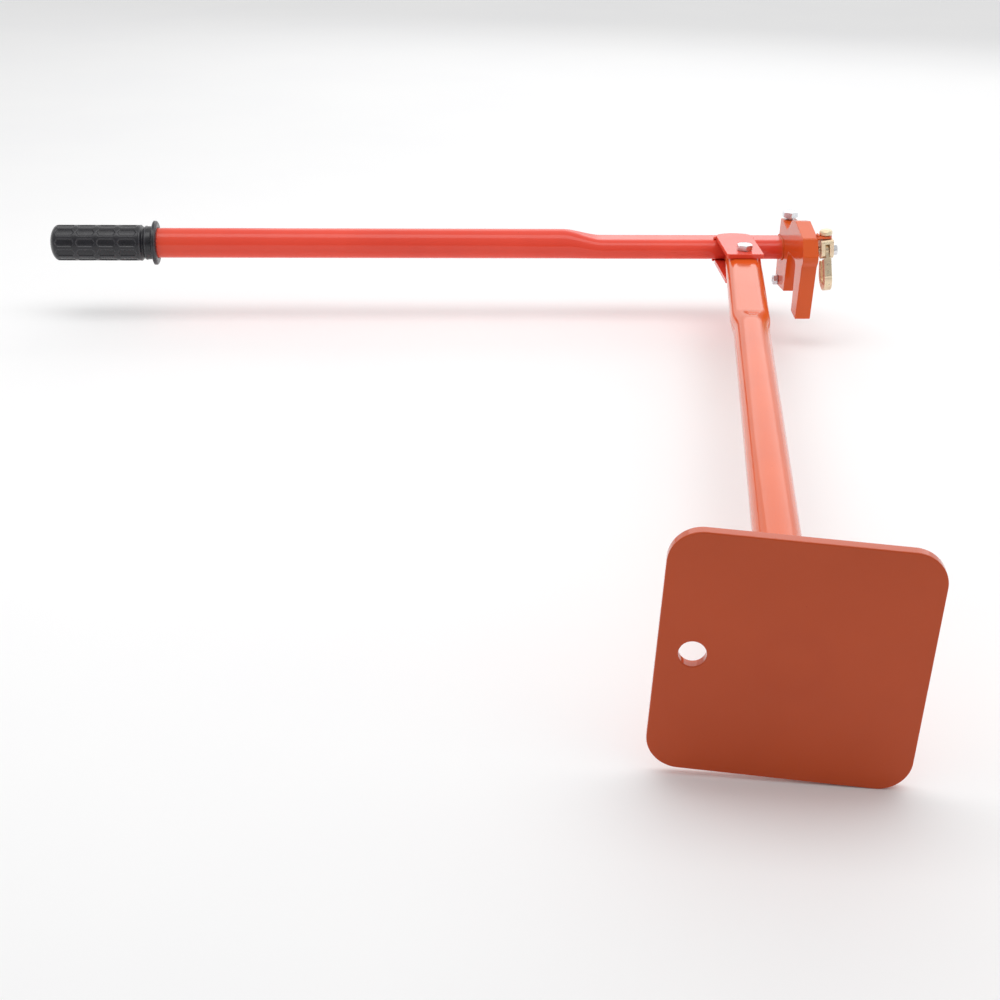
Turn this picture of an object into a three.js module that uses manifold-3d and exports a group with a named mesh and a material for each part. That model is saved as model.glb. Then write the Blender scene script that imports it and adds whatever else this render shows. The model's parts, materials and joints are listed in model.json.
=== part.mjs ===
// Lever puller: a foot plate on a long tube leg, a pivoting lever with a rubber grip,
// a slotted jaw plate on the lever's head, and a clevis hook beside the jaw.
// Millimetres. Origin: centre of the foot plate's ground face. +Z: along the pivot bolt,
// towards its head. +Y: up the leg, from the foot plate to the pivot. +X: towards the jaw.

import * as THREE from 'three';
import { mergeVertices } from 'three/addons/utils/BufferGeometryUtils.js';
import Module from 'manifold-3d';

const wasm = await Module();
wasm.setup();

// ---- driving dimensions -------------------------------------------------------------

const gap = 0.3;                       // clearance between touching pieces
const deg = Math.PI / 180;

const plateSide = 200;                 // foot plate
const plateThickness = 10;
const plateCornerRadius = 26;
const plateTwist = 2.7 * deg;          // the plate is welded on slightly off square
const plateHoleDiameter = 21;
const plateHoleOffset = 73.3;          // from the plate's centre, towards the handle side
const plateEdgeRound = 0.8;
const footWeldLeg = 7;                 // fillet weld round the leg's foot

const tubeWall = 3;
const pivotHeight = 1049.5;            // pivot bolt above the ground face
const legDiameter = 42;
const legFlatThickness = 26.4;
const legFlatWidth = 47.4;
const legFlatStart = pivotHeight - 234;
const legTransition = 62;
const legEndPastPivot = 22;

const leverAngle = 8.1 * deg;          // lever at rest, away from square to the leg
const leverOffset = 84;                // lever axis beyond the pivot bolt
const leverDiameter = 40;
const leverFlatThickness = 27;
const leverFlatWidth = 47.4;
const leverRoundRise = 4.2;            // round part's axis above the flattened part's
const leverTubeStart = -914;
const leverFlatEnd = 65.7;
const leverTransitionStart = -236;
const leverTransitionEnd = -180;

const gripStart = -926;                // rubber grip, along the lever
const gripDome = 11;
const gripNeck = -812;
const gripFlange = -789;
const gripEnd = -782;
const gripDiameter = 47.6;
const gripNeckDiameter = 45.6;
const gripFlangeDiameter = 59;
const gripBore = leverDiameter + 2 * gap;

const earThickness = 6;                // the two clevis ears on the lever
const earLeft = -26;
const earRight = 22.5;
const earNear = -22;
const earShoulder = 68;
const earFar = 83.5;

const pivotBoltDiameter = 12;
const pivotHoleDiameter = 12.6;
const pivotHeadAcross = 19;
const pivotHeadHeight = 7.5;
const pivotNutHeight = 10;
const pivotWasherDiameter = 24;
const pivotWasherThickness = 2.5;
const sleeveDiameter = 20;

const earWeldRadius = 2.4;
const jawWeldRadius = 2.2;
const jawThickness = 20;               // jaw plate on the lever's head
const jawLeft = leverFlatEnd + gap;
const jawRight = jawLeft + jawThickness;
const jawMiddle = jawLeft + jawThickness / 2;
const slotTop = 8;                     // the slot's top edge, above the lever's flat middle

const setBoltDiameter = 12;            // bolt screwed into the jaw plate's top
const setBoltAcross = 19;
const setBoltHeadHeight = 8;
const setBoltAlong = 85;
const setBoltHeadBase = 42;
const setBoltTip = 22;

const prongBoltDiameter = 8;           // bolt through the rear prong
const prongBoltAcross = 13;
const prongHeadHeight = 5.3;
const prongNutHeight = 6.5;
const prongBoltLength = jawThickness + 8;
const prongBoltAlong = 85;
const prongBoltHeight = -46;

const lugEndRadius = 7.6;              // lug, clevis and hook beside the jaw
const lugThickness = 3.4;
const lugTop = 50.2;
const hookAcross = 97;
const hookAlong = -39;
const swivelPinDiameter = 8;
const swivelHeadDiameter = 16.4;
const hangAngle = 5.5 * deg;           // the clevis and hook lean out, away from the jaw
const hangGap = 1;                     // room for that lean
const yokeWidth = 16.4;
const yokeDepth = 22;
const yokeSlot = 5.6;
const crownThickness = 5;
const hookPinHeight = 31;
const hookPinDiameter = 8;
const hookNutAcross = 14;
const hookNutHeight = 5.4;
const hookEyeRadius = 8.5;
const hookBodyWidth = 10;
const hookPlateWidth = yokeSlot - 2 * gap;
const hookBowlRadius = 18;
const hookThroatRadius = 8.5;

// ---- materials ----------------------------------------------------------------------

const paint = () => new THREE.MeshStandardMaterial({ color: 0xe8532c, roughness: 0.28, metalness: 0 });
const zinc = () => new THREE.MeshStandardMaterial({ color: 0xd4d6da, roughness: 0.3, metalness: 1 });
const gold = () => new THREE.MeshStandardMaterial({ color: 0xc9a65a, roughness: 0.32, metalness: 1 });
const rubber = () => new THREE.MeshStandardMaterial({ color: 0x2b2d30, roughness: 0.75, metalness: 0 });
const steel = () => new THREE.MeshStandardMaterial({ color: 0x9a9a9a, roughness: 0.45, metalness: 1 });

// ---- helpers ------------------------------------------------------------------------

function place(parent, name, geometry, material) {
  const mesh = new THREE.Mesh(geometry, material);
  mesh.name = name;
  parent.add(mesh);
  return mesh;
}

function toSolid(geometry) {
  const bare = geometry.clone();
  bare.deleteAttribute('normal');
  bare.deleteAttribute('uv');
  const merged = mergeVertices(bare, 1e-4);
  return new wasm.Manifold(new wasm.Mesh({
    numProp: 3,
    vertProperties: new Float32Array(merged.attributes.position.array),
    triVerts: new Uint32Array(merged.index.array),
  }));
}

function toGeometry(solid) {
  const mesh = solid.getMesh();
  const geometry = new THREE.BufferGeometry();
  geometry.setAttribute('position', new THREE.BufferAttribute(new Float32Array(mesh.vertProperties), 3));
  geometry.setIndex(new THREE.BufferAttribute(new Uint32Array(mesh.triVerts), 1));
  return geometry;
}

function cut(geometry, ...tools) {
  return toGeometry(tools.reduce((solid, tool) => solid.subtract(toSolid(tool)), toSolid(geometry)));
}

function join(geometry, ...others) {
  return toGeometry(others.reduce((solid, other) => solid.add(toSolid(other)), toSolid(geometry)));
}

// a cylinder along 'x', 'y' or 'z', from one coordinate to another on that axis
function rod(axis, radius, from, to, centre = [0, 0], sides = 32) {
  const geometry = new THREE.CylinderGeometry(radius, radius, to - from, sides);
  const middle = (from + to) / 2;
  if (axis === 'z') {
    geometry.rotateX(Math.PI / 2);
    geometry.translate(centre[0], centre[1], middle);
  } else if (axis === 'x') {
    geometry.rotateZ(-Math.PI / 2);
    geometry.translate(middle, centre[0], centre[1]);
  } else {
    geometry.translate(centre[0], middle, centre[1]);
  }
  return geometry;
}

// a closed profile of [radius, height] pairs turned about Z
function turned(profile, sides = 32) {
  const geometry = new THREE.LatheGeometry(profile.map(([r, z]) => new THREE.Vector2(r, z)), sides);
  geometry.rotateX(Math.PI / 2);
  return geometry;
}

function extruded(shape, depth, curveSegments = 12) {
  return new THREE.ExtrudeGeometry(shape, { depth, bevelEnabled: false, curveSegments });
}

// an outline in the (Y, Z) plane, made solid from x = left to x = left + width
function slab(shape, left, width, curveSegments = 12) {
  const geometry = extruded(shape, width, curveSegments);
  geometry.applyMatrix4(new THREE.Matrix4().set(
    0, 0, 1, left,
    1, 0, 0, 0,
    0, 1, 0, 0,
    0, 0, 0, 1));
  return geometry;
}

function hexagonPrism(across, height) {
  const prism = new THREE.CylinderGeometry(across / Math.sqrt(3), across / Math.sqrt(3), height, 6);
  prism.rotateX(Math.PI / 2);
  return prism;
}

// hex head with a chamfered top, its base at z = 0
function hexHead(across, height) {
  const head = hexagonPrism(across, height);
  head.translate(0, 0, height / 2);
  const cone = turned([[0, -1], [across, -1], [across, height * 0.2], [across / 2 * 0.93, height],
    [0, height]], 48);
  return toGeometry(toSolid(head).intersect(toSolid(cone)));
}

// hex bolt: head base at z = 0, head upwards, shank downwards
function hexBolt(across, headHeight, diameter, length) {
  const shank = rod('z', diameter / 2, -length, headHeight / 2, [0, 0], 24);
  return join(hexHead(across, headHeight), shank);
}

// hex nut: from z = 0 up to its height, around a clear hole
function hexNut(across, height, bore) {
  return cut(hexHead(across, height), rod('z', bore / 2, -1, height + 1, [0, 0], 24));
}

function ringGeometry(outer, inner, from, to, sides = 32) {
  return turned([[inner, from], [outer, from], [outer, to], [inner, to], [inner, from]], sides);
}

// one cross-section of a tube: a stadium of the given width (X) and thickness (Z),
// which is a circle where they are equal
function stadium(width, thickness, sides) {
  const points = [];
  for (let i = 0; i < sides; i += 1) {
    const angle = 2 * Math.PI * (i + 0.5) / sides;
    const side = Math.sign(Math.cos(angle)) * (width - thickness) / 2;
    points.push([side + Math.cos(angle) * thickness / 2, Math.sin(angle) * thickness / 2]);
  }
  return points;
}

// an open-ended hollow tube along +Y through stations {at, width, thickness, rise}
function hollowTube(stations, wall, sides = 32) {
  const positions = [];
  const index = [];
  const count = stations.length;
  for (const inset of [0, wall]) {
    for (const station of stations) {
      for (const [x, z] of stadium(station.width - 2 * inset, station.thickness - 2 * inset, sides)) {
        positions.push(x, station.at, z + station.rise);
      }
    }
  }
  const vertex = (skin, ring, side) => (skin * count + ring) * sides + (side % sides);
  const quad = (a, b, c, d) => index.push(a, b, c, a, c, d);
  for (let side = 0; side < sides; side += 1) {
    for (let ring = 0; ring < count - 1; ring += 1) {
      quad(vertex(0, ring, side), vertex(0, ring + 1, side),
        vertex(0, ring + 1, side + 1), vertex(0, ring, side + 1));
      quad(vertex(1, ring, side), vertex(1, ring, side + 1),
        vertex(1, ring + 1, side + 1), vertex(1, ring + 1, side));
    }
    quad(vertex(0, 0, side), vertex(0, 0, side + 1), vertex(1, 0, side + 1), vertex(1, 0, side));
    quad(vertex(0, count - 1, side), vertex(1, count - 1, side),
      vertex(1, count - 1, side + 1), vertex(0, count - 1, side + 1));
  }
  const geometry = new THREE.BufferGeometry();
  geometry.setAttribute('position', new THREE.Float32BufferAttribute(positions, 3));
  geometry.setIndex(index);
  return geometry;
}

// stations from a round tube to a flattened one, with a smooth change between
function flattenedStations(start, changeStart, changeEnd, end, diameter, width, thickness, rise) {
  const steps = 8;
  const stations = [{ at: start, width: diameter, thickness: diameter, rise }];
  for (let i = 0; i <= steps; i += 1) {
    const t = i / steps;
    const s = t * t * (3 - 2 * t);
    stations.push({
      at: THREE.MathUtils.lerp(changeStart, changeEnd, t),
      width: THREE.MathUtils.lerp(diameter, width, s),
      thickness: THREE.MathUtils.lerp(diameter, thickness, s),
      rise: THREE.MathUtils.lerp(rise, 0, s),
    });
  }
  stations.push({ at: end, width, thickness, rise: 0 });
  return stations;
}

// a bead of round section along a list of points
function bead(points, radius, steps) {
  const section = new THREE.Shape();
  section.absarc(0, 0, radius, 0, 2 * Math.PI);
  const path = new THREE.CatmullRomCurve3(points.map((p) => new THREE.Vector3(...p)), false, 'centripetal');
  return new THREE.ExtrudeGeometry(section, { extrudePath: path, steps, curveSegments: 4 });
}

// ---- stand: foot plate and leg ------------------------------------------------------

function footPlate() {
  const half = plateSide / 2;
  const r = plateCornerRadius;
  const outline = new THREE.Shape();
  outline.absarc(half - r, half - r, r, 0, Math.PI / 2);
  outline.absarc(r - half, half - r, r, Math.PI / 2, Math.PI);
  outline.absarc(r - half, r - half, r, Math.PI, 1.5 * Math.PI);
  outline.absarc(half - r, r - half, r, 1.5 * Math.PI, 2 * Math.PI);
  const hole = new THREE.Path();
  hole.absarc(-plateHoleOffset, 0, plateHoleDiameter / 2, 0, 2 * Math.PI);
  outline.holes.push(hole);
  const geometry = new THREE.ExtrudeGeometry(outline, {
    depth: plateThickness - 2 * plateEdgeRound,
    bevelEnabled: true,
    bevelThickness: plateEdgeRound,
    bevelSize: plateEdgeRound,
    bevelOffset: -plateEdgeRound,
    bevelSegments: 1,
    curveSegments: 12,
  });
  geometry.rotateX(Math.PI / 2);
  geometry.translate(0, plateThickness - plateEdgeRound, 0);
  return geometry;
}

function legTube() {
  const end = pivotHeight + legEndPastPivot;
  const tube = hollowTube(flattenedStations(plateThickness + gap, legFlatStart - legTransition,
    legFlatStart, end, legDiameter, legFlatWidth, legFlatThickness, 0), tubeWall);
  return cut(tube, rod('z', pivotHoleDiameter / 2, -40, 40, [0, pivotHeight]));
}

function footWeld() {
  const inner = legDiameter / 2 + gap;
  const leg = footWeldLeg;
  const profile = [[inner, 0], [inner + leg, 0], [inner + 0.63 * leg, 0.34 * leg],
    [inner + 0.34 * leg, 0.63 * leg], [inner, leg], [inner, 0]];
  const geometry = turned(profile, 40);
  geometry.rotateX(-Math.PI / 2);
  geometry.translate(0, plateThickness + gap, 0);
  return geometry;
}

// ---- lever --------------------------------------------------------------------------

// the lever's pieces lie along X in its own frame, whose origin is the pivot
function leverTube() {
  const stations = flattenedStations(leverTubeStart, leverTransitionStart, leverTransitionEnd,
    leverFlatEnd, leverDiameter, leverFlatWidth, leverFlatThickness, leverRoundRise);
  const geometry = hollowTube(stations, tubeWall);
  geometry.rotateZ(-Math.PI / 2);
  geometry.translate(0, leverOffset, 0);
  return geometry;
}

function rubberGrip() {
  const r = gripDiameter / 2;
  const neck = gripNeckDiameter / 2;
  const flange = gripFlangeDiameter / 2;
  const bore = gripBore / 2;
  const mouth = leverTubeStart - gap;
  const profile = [[0, gripStart]];
  for (let i = 1; i <= 8; i += 1) {
    const turn = Math.PI / 2 * i / 8;
    profile.push([r * Math.sin(turn), gripStart + gripDome * (1 - Math.cos(turn))]);
  }
  profile.push([r, gripNeck], [neck, gripNeck + 3], [neck, gripFlange - 4], [flange - 2.4, gripFlange - 1.6],
    [flange, gripFlange + 1.2], [flange, gripEnd - 2], [flange - 1.4, gripEnd - 0.5], [flange - 3, gripEnd],
    [bore, gripEnd], [bore, mouth], [0, mouth]);
  const geometry = turned(profile, 36);
  geometry.rotateY(Math.PI / 2);
  geometry.translate(0, leverOffset, leverRoundRise);
  return geometry;
}

function ear(base) {
  const outline = new THREE.Shape();
  const corner = 3;
  const middle = (earLeft + earRight) / 2;
  outline.moveTo(earLeft + corner, earNear);
  outline.lineTo(earRight - corner, earNear);
  outline.quadraticCurveTo(earRight, earNear, earRight, earNear + corner);
  outline.lineTo(earRight, earShoulder);
  outline.bezierCurveTo(earRight - 1, earShoulder + 9, earRight - 8, earFar, middle, earFar);
  outline.bezierCurveTo(earLeft + 8, earFar, earLeft + 1, earShoulder + 9, earLeft, earShoulder);
  outline.lineTo(earLeft, earNear + corner);
  outline.quadraticCurveTo(earLeft, earNear, earLeft + corner, earNear);
  const hole = new THREE.Path();
  hole.absarc(0, 0, pivotHoleDiameter / 2, 0, 2 * Math.PI);
  outline.holes.push(hole);
  const geometry = extruded(outline, earThickness, 10);
  geometry.translate(0, 0, base);
  return geometry;
}

// a bead round the far, arched edge of an ear, on the lever's flat side
function earWeld(side) {
  const radius = earWeldRadius;
  const middle = (earLeft + earRight) / 2;
  const height = side * (leverFlatThickness / 2 + gap + radius);
  const out = radius + gap;
  const points = [[earRight + out + 0.2, earShoulder + 5, height], [earRight + 1, earShoulder + 12, height],
    [earRight - 9, earFar + 1.6, height], [middle, earFar + out + 0.2, height],
    [earLeft + 9, earFar + 1.6, height], [earLeft - 1, earShoulder + 12, height],
    [earLeft - out - 0.2, earShoulder + 5, height]];
  return bead(points, radius, 20);
}

// ---- jaw plate ----------------------------------------------------------------------

// outline in (along, height): near prong, slot, rear prong and the notch in the top edge
function jawOutline() {
  const outline = new THREE.Shape();
  outline.moveTo(6, 57);
  outline.lineTo(-44, 47);
  outline.lineTo(-57, 26);
  outline.quadraticCurveTo(-57.5, 19, -52, 12);
  outline.lineTo(-41, -63);
  outline.lineTo(-13, -60);
  outline.lineTo(-15, slotTop - 13);
  outline.quadraticCurveTo(-15, slotTop, -4, slotTop);
  outline.lineTo(26, slotTop);
  outline.quadraticCurveTo(35, slotTop, 35.6, slotTop - 10);
  outline.lineTo(42, -50);
  outline.lineTo(90, -54);
  outline.lineTo(99, -45);
  outline.lineTo(98, 14);
  outline.lineTo(95, 38);
  outline.lineTo(80, 39);
  outline.lineTo(51, 33);
  outline.lineTo(26, 53);
  outline.closePath();
  return outline;
}

function jawPlate() {
  const plate = slab(jawOutline(), jawLeft, jawThickness, 6);
  const setHole = rod('z', setBoltDiameter / 2 + gap, setBoltTip - 2, 60, [jawMiddle, setBoltAlong]);
  const prongHole = rod('x', prongBoltDiameter / 2 + gap, jawLeft - 5, jawRight + 5,
    [prongBoltAlong, prongBoltHeight], 24);
  return cut(plate, setHole, prongHole);
}

// a bead along the top, near side and underside of the lever's flattened end
function jawWeld() {
  const radius = jawWeldRadius;
  const x = jawLeft - radius - gap;
  const half = leverFlatThickness / 2;
  const reach = (leverFlatWidth - leverFlatThickness) / 2;
  const out = half + radius + gap + 0.1;
  const points = [[x, leverOffset + 12, out]];
  for (let i = 0; i <= 8; i += 1) {
    const angle = Math.PI / 2 + Math.PI * i / 8;
    points.push([x, leverOffset - reach + out * Math.cos(angle), out * Math.sin(angle)]);
  }
  points.push([x, leverOffset + 12, -out]);
  return bead(points, radius, 36);
}

// ---- lug, clevis and hook -----------------------------------------------------------

function hookLug() {
  const end = lugEndRadius;
  const outline = new THREE.Shape();
  outline.moveTo(jawRight + gap, hookAlong - end);
  outline.lineTo(hookAcross, hookAlong - end);
  outline.absarc(hookAcross, hookAlong, end, -Math.PI / 2, Math.PI / 2);
  outline.lineTo(jawRight + gap, hookAlong + end);
  outline.closePath();
  const hole = new THREE.Path();
  hole.absarc(hookAcross, hookAlong, swivelPinDiameter / 2 + 2 * gap, 0, 2 * Math.PI);
  outline.holes.push(hole);
  const geometry = extruded(outline, lugThickness, 12);
  geometry.translate(0, 0, lugTop - lugThickness);
  return geometry;
}

const yokeTop = lugTop - lugThickness - hangGap;
const crownBottom = yokeTop - crownThickness;
const cheekBottom = hookPinHeight - yokeDepth / 2 - 1;

function swivelPin() {
  const r = swivelPinDiameter / 2;
  const head = swivelHeadDiameter / 2;
  const base = lugTop + hangGap;
  const geometry = turned([[0, crownBottom + 2], [r, crownBottom + 2], [r, base], [head, base],
    [head, base + 4.6], [head - 1.4, base + 6.4], [0, base + 7]], 32);
  geometry.translate(hookAcross, hookAlong, 0);
  return geometry;
}

// crown with two cheeks, open downwards, with a blind hole for the swivel pin
function hookYoke() {
  const half = yokeDepth / 2;
  const outline = new THREE.Shape();
  outline.moveTo(hookAlong - half + 2, yokeTop);
  outline.lineTo(hookAlong - half, yokeTop - 3);
  outline.lineTo(hookAlong - half, hookPinHeight);
  outline.absarc(hookAlong, hookPinHeight, half, Math.PI, 2 * Math.PI);
  outline.lineTo(hookAlong + half, yokeTop - 3);
  outline.lineTo(hookAlong + half - 2, yokeTop);
  outline.closePath();
  const body = slab(outline, hookAcross - yokeWidth / 2, yokeWidth, 12);
  const slotDepth = crownBottom - cheekBottom + 10;
  const slot = new THREE.BoxGeometry(yokeSlot, yokeDepth + 4, slotDepth);
  slot.translate(hookAcross, hookAlong, crownBottom - slotDepth / 2);
  const pinHole = rod('x', hookPinDiameter / 2 + gap, hookAcross - 20, hookAcross + 20,
    [hookAlong, hookPinHeight], 24);
  const swivelHole = rod('z', swivelPinDiameter / 2 + gap, crownBottom + 1.4, yokeTop + 5,
    [hookAcross, hookAlong]);
  return cut(body, slot, pinHole, swivelHole);
}

// headed pin through both cheeks, long enough for its nut
function hookPin() {
  const left = hookAcross - yokeWidth / 2;
  const right = hookAcross + yokeWidth / 2;
  const centre = [hookAlong, hookPinHeight];
  const headThickness = 1.8;
  const headRadius = hookPinDiameter / 2 + 1.4;
  const headRight = left - gap;
  const shankEnd = right + gap + hookNutHeight + 0.6;
  const shank = rod('x', hookPinDiameter / 2, headRight - headThickness / 2, shankEnd, centre, 24);
  const head = rod('x', headRadius, headRight - headThickness, headRight, centre, 24);
  return join(shank, head);
}

// hook outline in (along, height), from its eye round the bowl to its tip
function grabHook() {
  const y = hookAlong;
  const z = hookPinHeight;
  const bowlY = y + 3;
  const bowlZ = z - 37;
  const body = new THREE.Shape();
  body.moveTo(y - hookEyeRadius, z - 1);
  body.lineTo(bowlY - hookBowlRadius, bowlZ + 5);
  body.absarc(bowlY, bowlZ, hookBowlRadius, Math.PI * 0.93, Math.PI * 2, false);
  body.lineTo(bowlY + hookBowlRadius - 1.5, bowlZ + 13);
  body.quadraticCurveTo(bowlY + 14.5, bowlZ + 19.5, bowlY + hookThroatRadius + 2, bowlZ + 18);
  body.lineTo(bowlY + hookThroatRadius, bowlZ + 12);
  body.lineTo(bowlY + hookThroatRadius, bowlZ + 0.5);
  body.absarc(bowlY, bowlZ, hookThroatRadius, 0, Math.PI, true);
  body.lineTo(y + 1.5, z - hookEyeRadius);
  body.lineTo(y + hookEyeRadius, z - 1);
  body.absarc(y, z, hookEyeRadius, 0, Math.PI, false);
  const plate = slab(body, hookAcross - hookPlateWidth / 2, hookPlateWidth, 16);
  const full = slab(body, hookAcross - hookBodyWidth / 2, hookBodyWidth, 16);
  const swingRoom = rod('x', yokeDepth / 2 + 1.6, hookAcross - 20, hookAcross + 20, [y, z], 40);
  const thick = toSolid(full).subtract(toSolid(swingRoom));
  const hook = toSolid(plate).add(thick);
  return toGeometry(hook.subtract(toSolid(
    rod('x', hookPinDiameter / 2 + gap, hookAcross - 20, hookAcross + 20, [y, z], 24))));
}

// ---- assembly -----------------------------------------------------------------------

const puller = new THREE.Group();

place(puller, 'foot_plate', footPlate(), paint()).rotation.y = plateTwist;
place(puller, 'foot_weld', footWeld(), paint());
place(puller, 'leg_tube', legTube(), paint());

const sleeveHalf = legFlatThickness / 2 - tubeWall - gap;
const sleeve = ringGeometry(sleeveDiameter / 2, pivotHoleDiameter / 2, -sleeveHalf, sleeveHalf);
place(puller, 'pivot_sleeve', sleeve, steel()).position.y = pivotHeight;

const lever = new THREE.Group();
lever.position.y = pivotHeight;
lever.rotation.z = leverAngle;
puller.add(lever);

const earInner = leverFlatThickness / 2 + gap;
const earOuter = earInner + earThickness;
place(lever, 'lever_tube', leverTube(), paint());
place(lever, 'rubber_grip', rubberGrip(), rubber());
place(lever, 'upper_ear', ear(earInner), paint());
place(lever, 'lower_ear', ear(-earOuter), paint());
place(lever, 'upper_ear_weld', earWeld(1), paint());
place(lever, 'lower_ear_weld', earWeld(-1), paint());

const boltTail = 3;                    // thread left beyond the nut
const boltLength = 2 * earOuter + pivotWasherThickness + pivotNutHeight + boltTail + 3 * gap;
const washerTop = -earOuter - gap;
const nutTop = washerTop - pivotWasherThickness - gap;
place(lever, 'pivot_bolt', hexBolt(pivotHeadAcross, pivotHeadHeight, pivotBoltDiameter, boltLength), zinc())
  .position.z = earOuter + gap;
place(lever, 'pivot_washer', ringGeometry(pivotWasherDiameter / 2, pivotHoleDiameter / 2,
  washerTop - pivotWasherThickness, washerTop), zinc());
const pivotNut = place(lever, 'pivot_lock_nut', hexNut(pivotHeadAcross, pivotNutHeight, pivotHoleDiameter),
  zinc());
pivotNut.rotation.x = Math.PI;
pivotNut.position.z = nutTop;

place(lever, 'jaw_plate', jawPlate(), paint());
place(lever, 'jaw_weld', jawWeld(), paint());
place(lever, 'jaw_set_bolt', hexBolt(setBoltAcross, setBoltHeadHeight, setBoltDiameter,
  setBoltHeadBase - setBoltTip), zinc()).position.set(jawMiddle, setBoltAlong, setBoltHeadBase);

const prongBolt = place(lever, 'prong_bolt', hexBolt(prongBoltAcross, prongHeadHeight, prongBoltDiameter,
  prongBoltLength), zinc());
prongBolt.rotation.y = Math.PI / 2;
prongBolt.position.set(jawRight + gap, prongBoltAlong, prongBoltHeight);
const prongNutBore = prongBoltDiameter + 2 * gap;
const prongNut = place(lever, 'prong_nut', hexNut(prongBoltAcross, prongNutHeight, prongNutBore), zinc());
prongNut.rotation.y = -Math.PI / 2;
prongNut.position.set(jawLeft - gap, prongBoltAlong, prongBoltHeight);

place(lever, 'hook_lug', hookLug(), paint());

// the clevis and hook are drawn upright, then lean about the middle of the lug's hole
const lean = new THREE.Group();
lean.position.set(hookAcross, hookAlong, lugTop - lugThickness / 2);
lean.rotation.y = -hangAngle;
lever.add(lean);
const hung = new THREE.Group();
hung.position.copy(lean.position).negate();
lean.add(hung);

place(hung, 'swivel_pin', swivelPin(), gold());
place(hung, 'hook_yoke', hookYoke(), gold());
place(hung, 'hook_pin', hookPin(), gold());
const hookNutBore = hookPinDiameter + 2 * gap;
const hookNut = place(hung, 'hook_nut', hexNut(hookNutAcross, hookNutHeight, hookNutBore), zinc());
hookNut.rotation.y = Math.PI / 2;
hookNut.position.set(hookAcross + yokeWidth / 2 + gap, hookAlong, hookPinHeight);
place(hung, 'grab_hook', grabHook(), gold());

export default puller;
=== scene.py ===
"""Lever puller: the fine surfaces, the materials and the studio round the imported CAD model."""

import json
import math

import bmesh
import bpy
from mathutils import Matrix, Vector, noise
from mathutils.geometry import tessellate_polygon


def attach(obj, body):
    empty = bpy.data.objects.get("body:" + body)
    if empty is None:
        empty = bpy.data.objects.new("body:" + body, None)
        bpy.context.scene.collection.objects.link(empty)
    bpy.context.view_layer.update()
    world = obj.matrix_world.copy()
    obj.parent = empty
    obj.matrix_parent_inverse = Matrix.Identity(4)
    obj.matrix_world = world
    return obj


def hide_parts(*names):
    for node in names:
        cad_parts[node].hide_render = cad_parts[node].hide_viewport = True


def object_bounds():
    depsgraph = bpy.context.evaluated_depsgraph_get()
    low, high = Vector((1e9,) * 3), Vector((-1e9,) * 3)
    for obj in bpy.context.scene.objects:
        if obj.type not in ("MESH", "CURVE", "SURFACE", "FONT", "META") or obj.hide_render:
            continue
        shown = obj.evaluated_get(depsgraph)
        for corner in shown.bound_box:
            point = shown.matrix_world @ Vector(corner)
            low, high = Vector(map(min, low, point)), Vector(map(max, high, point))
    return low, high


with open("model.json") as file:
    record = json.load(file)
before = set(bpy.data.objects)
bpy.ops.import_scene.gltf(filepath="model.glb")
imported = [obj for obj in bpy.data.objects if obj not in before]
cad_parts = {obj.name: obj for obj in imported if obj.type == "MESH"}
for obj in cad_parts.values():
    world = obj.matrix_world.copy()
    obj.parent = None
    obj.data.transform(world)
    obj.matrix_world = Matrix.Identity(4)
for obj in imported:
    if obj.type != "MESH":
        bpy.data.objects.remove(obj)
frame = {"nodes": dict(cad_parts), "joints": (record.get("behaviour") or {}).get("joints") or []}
cad_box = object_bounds()

MM = 0.001
TAU = 2 * math.pi
GAP = 0.3              # the CAD's clearance between neighbouring nodes, in millimetres
PIVOT_HOLE = 6.3       # radius of the pivot's hole in the ears and the leg


# ---- the two frames that the pieces are drawn in, in millimetres --------------------


def joint(name):
    return next(j for j in frame["joints"] if j["name"] == name)


PIVOT = Vector(joint("lever_pivot")["pos_m"])
SWING = Vector(joint("hook_swing")["axis"])
LEVER_ANGLE = math.atan2(SWING.y, SWING.x)
ROW = Matrix.Scale(MM, 4)
LEVER = Matrix.Translation(PIVOT) @ Matrix.Rotation(LEVER_ANGLE, 4, "Z") @ ROW


def extent(node, place=ROW):
    """The lowest and highest corner of a CAD node, in millimetres of the given frame."""
    inverse = place.inverted()
    points = [inverse @ v.co for v in frame["nodes"][node].data.vertices]
    low = Vector([min(p[i] for p in points) for i in range(3)])
    high = Vector([max(p[i] for p in points) for i in range(3)])
    return low, high


# ---- mesh helpers: each returns (vertices, faces) in millimetres --------------------


def joined(*parts):
    """Several (vertices, faces) shells in one mesh."""
    vertices = []
    faces = []
    for part_vertices, part_faces in parts:
        shift = len(vertices)
        vertices += part_vertices
        faces += [tuple(i + shift for i in face) for face in part_faces]
    return vertices, faces


def skin(rings, closed=False):
    """Quads between rings of equal length; a flat cap on each end unless it is closed."""
    count = len(rings[0])
    vertices = [Vector(point) for ring in rings for point in ring]
    faces = []
    for r in range(len(rings) if closed else len(rings) - 1):
        here = r * count
        on = (r + 1) % len(rings) * count
        for i in range(count):
            j = (i + 1) % count
            faces.append((here + i, here + j, on + j, on + i))
    if not closed:
        faces.append(tuple(reversed(range(count))))
        faces.append(tuple(range(len(vertices) - count, len(vertices))))
    return vertices, faces


def circle(radius, z, sides):
    angles = [TAU * i / sides for i in range(sides)]
    return [(radius * math.cos(a), radius * math.sin(a), z) for a in angles]


def turned(profile, sides=72, closed=False):
    """A profile of (radius, height) pairs turned about Z."""
    return skin([circle(r, z, sides) for r, z in profile], closed)


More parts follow.
